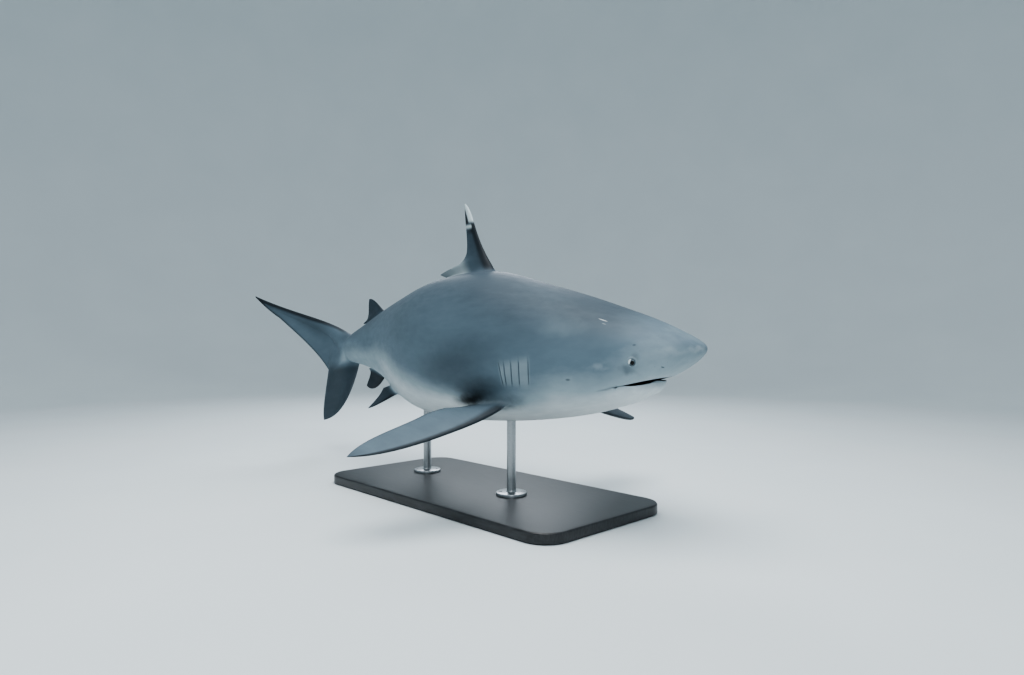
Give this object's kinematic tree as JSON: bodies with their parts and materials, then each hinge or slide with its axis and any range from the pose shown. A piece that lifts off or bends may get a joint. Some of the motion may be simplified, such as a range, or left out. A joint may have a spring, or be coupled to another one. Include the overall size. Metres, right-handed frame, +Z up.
{
  "type": "bull shark display model",
  "caption": "Life-size swimming bull shark, body curved and mouth slightly open, held on rods above a flat rounded base.",
  "frame": {"origin": "centre of the display base's underside, on the floor", "axes": "+X towards the snout, +Y to the shark's left, +Z up"},
  "size_m": [2.5906, 1.3308, 1.1033],
  "materials": {
    "shark_skin": "slate-grey back fading to off-white belly, satin",
    "fin_skin": "slate grey with dusky tips and edges, satin",
    "eye": "dark pupil in a pale grey iris, wet gloss",
    "stand_wood": "black satin lacquer",
    "rod_steel": "brushed"
  },
  "bodies": {
    "root": {"head": "shark_skin", "lower_jaw": "shark_skin", "trunk_front": "shark_skin", "trunk_rear": "shark_skin", "tail_stock": "shark_skin", "caudal_fin_upper": "fin_skin", "caudal_fin_lower": "fin_skin", "first_dorsal_fin": "fin_skin", "second_dorsal_fin": "fin_skin", "anal_fin": "fin_skin", "pectoral_fin_left": "fin_skin", "pectoral_fin_right": "fin_skin", "pelvic_fin_left": "fin_skin", "pelvic_fin_right": "fin_skin", "eye_left": "eye", "eye_right": "eye", "stand_base": "stand_wood", "stand_rod_front": "rod_steel", "stand_rod_rear": "rod_steel"}
  },
  "joints": []
}
